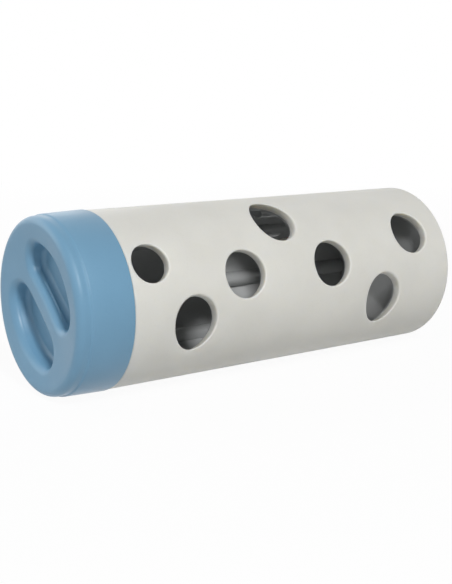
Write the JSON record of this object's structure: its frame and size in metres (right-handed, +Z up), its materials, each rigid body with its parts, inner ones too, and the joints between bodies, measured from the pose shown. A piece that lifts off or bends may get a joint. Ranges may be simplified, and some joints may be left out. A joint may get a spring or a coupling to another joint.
{
  "type": "treat dispensing roller",
  "caption": "Cylindrical treat dispensing roller: a tube with round treat openings, an inner sleeve that turns to cover them, and a screw cap with a finger grip.",
  "frame": {"origin": "middle of the roller's length, on its rolling axis", "axes": "+X along the rolling axis away from the screw cap, +Z up, the pictured side faces -Y"},
  "size_m": [0.16, 0.0604, 0.0604],
  "materials": {
    "tube_plastic": "satin off-white moulding",
    "sleeve_plastic": "mid grey, half gloss",
    "cap_plastic": "matt grey-blue moulding",
    "seal_rubber": "soft translucent grey"
  },
  "bodies": {
    "tube": {"tube": "tube_plastic"},
    "sleeve": {"inner_sleeve": "sleeve_plastic", "turning_dial": "sleeve_plastic"},
    "seal": {"cap_seal": "seal_rubber"},
    "cap": {"screw_cap": "cap_plastic"}
  },
  "joints": [
    {"name": "sleeve_turn", "type": "hinge", "parent": "tube", "child": "sleeve", "pos_m": [0, 0, 0], "axis": [1, 0, 0], "range_deg": [0, 54]},
    {"name": "cap_lift", "type": "slide", "parent": "tube", "child": "seal", "axis": [-1, 0, 0], "range_m": [0, 0.015]},
    {"name": "cap_unscrew", "type": "hinge", "parent": "seal", "child": "cap", "pos_m": [-0.07, 0, 0], "axis": [-1, 0, 0], "range_deg": [0, 900]}
  ],
  "couplings": [
    {"joint": "cap_lift", "follows": "cap_unscrew", "m_per_rad": 0.00095493}
  ]
}
